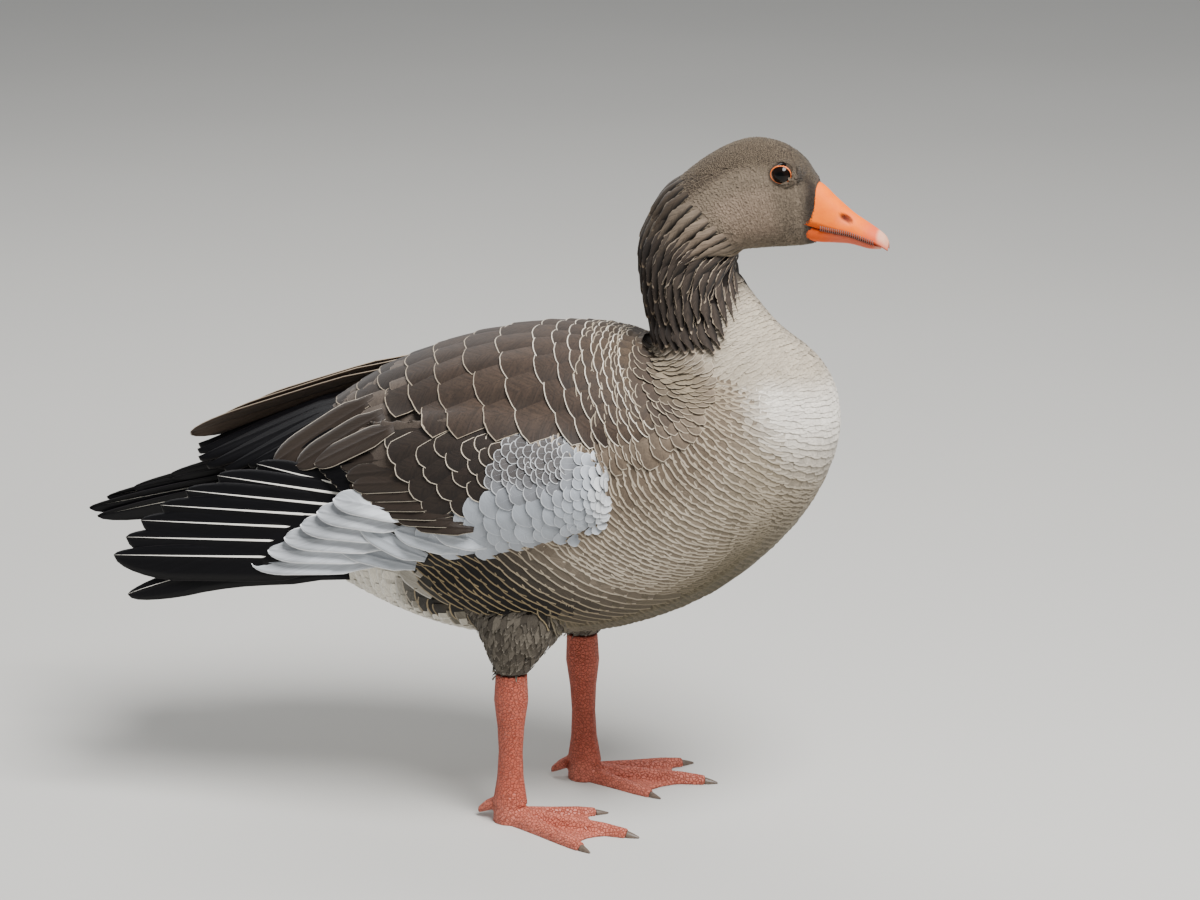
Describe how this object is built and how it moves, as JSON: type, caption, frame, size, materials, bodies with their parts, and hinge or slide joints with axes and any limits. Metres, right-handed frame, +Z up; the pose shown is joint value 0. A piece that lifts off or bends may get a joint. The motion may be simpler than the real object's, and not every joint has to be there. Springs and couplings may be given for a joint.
{
  "type": "greylag goose figure",
  "caption": "Life-size standing greylag goose with furrowed neck, folded wings and webbed feet, as a still museum-type model.",
  "frame": {"origin": "middle of the bird's box, at the level of the soles", "axes": "+X forward towards the bill, +Y to the bird's left, +Z up"},
  "size_m": [0.647, 0.2162, 0.5306],
  "materials": {
    "plumage_head": "short soft grey-brown feathers",
    "plumage_neck": "long feathers lying in dark furrows and pale ridges",
    "plumage_trunk": "soft grey-buff feathers with fine brown bars",
    "plumage_wing": "firm brown feathers with pale edges",
    "quill_dark": "black flight feathers with white shafts",
    "bill": "satin orange horn, pink towards a pale nail",
    "leg": "net-scaled pinkish orange skin",
    "claw": "grey-brown horn",
    "eye": "wet dark brown eye with a thin orange lid rim"
  },
  "bodies": {
    "root": {"eye_right": "eye", "eye_left": "eye", "head": "plumage_head", "neck_upper": "plumage_neck", "neck_lower": "plumage_neck", "bill_upper": "bill", "bill_lower": "bill", "trunk": "plumage_trunk", "tail": "plumage_wing", "wing_right_arm": "plumage_wing", "wing_right_tertials": "plumage_wing", "wing_right_primaries": "quill_dark", "wing_left_arm": "plumage_wing", "wing_left_tertials": "plumage_wing", "wing_left_primaries": "quill_dark", "thigh_right": "plumage_trunk", "shank_right": "leg", "hallux_right": "leg", "claw_right_middle": "claw", "claw_right_inner": "claw", "claw_right_outer": "claw", "foot_right": "leg", "thigh_left": "plumage_trunk", "shank_left": "leg", "hallux_left": "leg", "claw_left_middle": "claw", "claw_left_inner": "claw", "claw_left_outer": "claw", "foot_left": "leg"}
  },
  "joints": []
}
